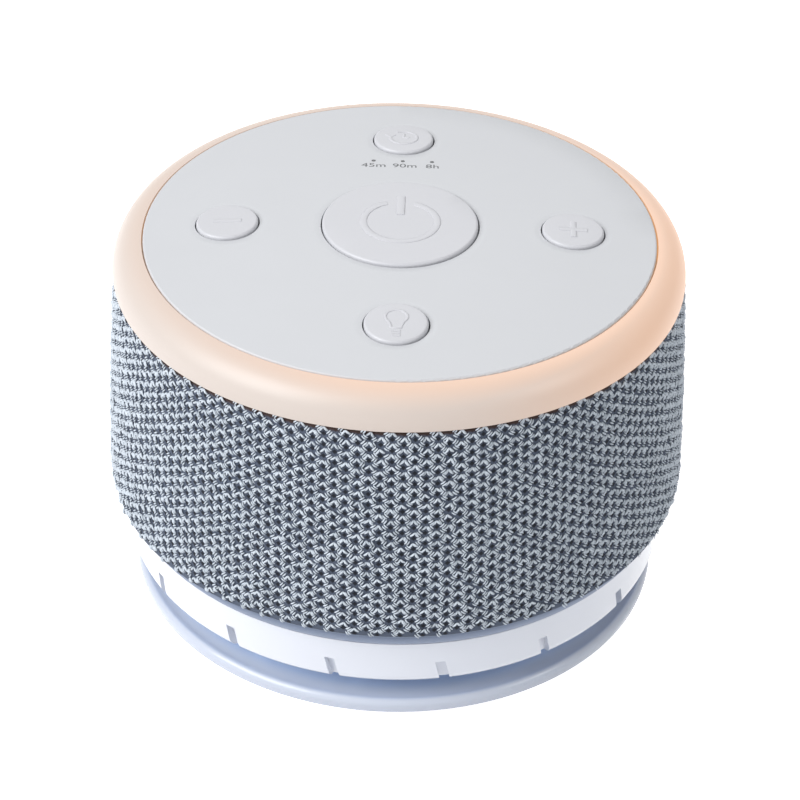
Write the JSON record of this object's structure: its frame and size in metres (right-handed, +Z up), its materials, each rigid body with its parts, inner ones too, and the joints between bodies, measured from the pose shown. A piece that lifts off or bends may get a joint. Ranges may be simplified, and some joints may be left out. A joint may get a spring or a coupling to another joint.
{
  "type": "white noise sound machine",
  "caption": "Squat fabric-wrapped fan sound machine with a domed button panel, a lit ring round it and a twisting tone collar over a flared foot.",
  "frame": {"origin": "on the table under the middle of the round base", "axes": "+Z up along the drum axis, front (light button) towards -Y, plus button towards +X"},
  "size_m": [0.1466, 0.1466, 0.1008],
  "materials": {
    "panel": "satin, fine moulded grain",
    "button": "satin",
    "light_ring": "translucent, lit warm from inside",
    "fabric": "two-tone knit",
    "lip": "cool grey",
    "collar": "satin white",
    "base": "satin pale blue-grey",
    "shell": "moulded",
    "rubber": "matte",
    "steel": "zinc plated",
    "black_plastic": "matte",
    "board_white": "solder mask",
    "board_green": "solder mask",
    "led": "gloss",
    "light_pipe": "smoked clear",
    "capacitor": "satin",
    "brass": "sintered",
    "magnet": "ferrite",
    "copper": "enamelled copper",
    "impeller": "moulded",
    "lead": "insulated wire"
  },
  "bodies": {
    "root": {"base_foot": "base", "board_screws": "steel", "case_screws": "steel", "control_board": "board_green", "controller_chip": "black_plastic", "dc_jack": "black_plastic", "fabric_sleeve": "fabric", "housing_shell": "shell", "isolator_screws": "steel", "led_board": "board_white", "light_ring": "light_ring", "lower_housing": "lip", "motor_bushes": "brass", "motor_can": "steel", "motor_end_cap": "black_plastic", "motor_isolators": "rubber", "motor_lead": "lead", "motor_magnets": "magnet", "motor_plate": "steel", "motor_screws": "steel", "night_light_leds": "led", "power_lead": "lead", "push_switches": "black_plastic", "rubber_feet": "rubber", "smoothing_capacitors": "capacitor", "timer_leds": "led", "timer_light_pipes": "light_pipe", "top_panel": "panel"},
    "power_key": {"power_button": "button", "power_plunger": "black_plastic"},
    "minus_key": {"minus_button": "button", "minus_plunger": "black_plastic"},
    "plus_key": {"plus_button": "button", "plus_plunger": "black_plastic"},
    "timer_key": {"timer_button": "button", "timer_plunger": "black_plastic"},
    "light_key": {"light_button": "button", "light_plunger": "black_plastic"},
    "tone_collar": {"tone_collar": "collar"},
    "fan_rotor": {"motor_shaft": "steel", "armature_core": "steel", "armature_windings": "copper", "commutator": "copper", "impeller": "impeller"}
  },
  "joints": [
    {"name": "power_press", "type": "slide", "parent": "root", "child": "power_key", "axis": [0, 0, -1], "range_m": [0, 0.0006], "stiffness_N_per_m": 300, "springref_m": -0.0005},
    {"name": "minus_press", "type": "slide", "parent": "root", "child": "minus_key", "axis": [0, 0, -1], "range_m": [0, 0.0006], "stiffness_N_per_m": 300, "springref_m": -0.0005},
    {"name": "plus_press", "type": "slide", "parent": "root", "child": "plus_key", "axis": [0, 0, -1], "range_m": [0, 0.0006], "stiffness_N_per_m": 300, "springref_m": -0.0005},
    {"name": "timer_press", "type": "slide", "parent": "root", "child": "timer_key", "axis": [0, 0, -1], "range_m": [0, 0.0006], "stiffness_N_per_m": 300, "springref_m": -0.0005},
    {"name": "light_press", "type": "slide", "parent": "root", "child": "light_key", "axis": [0, 0, -1], "range_m": [0, 0.0006], "stiffness_N_per_m": 300, "springref_m": -0.0005},
    {"name": "collar_twist", "type": "hinge", "parent": "root", "child": "tone_collar", "pos_m": [0, 0, 0.0185], "axis": [0, 0, 1], "range_deg": [0, 15]},
    {"name": "fan_spin", "type": "hinge", "parent": "root", "child": "fan_rotor", "pos_m": [0, 0, 0.0185], "axis": [0, 0, 1], "continuous": true}
  ]
}
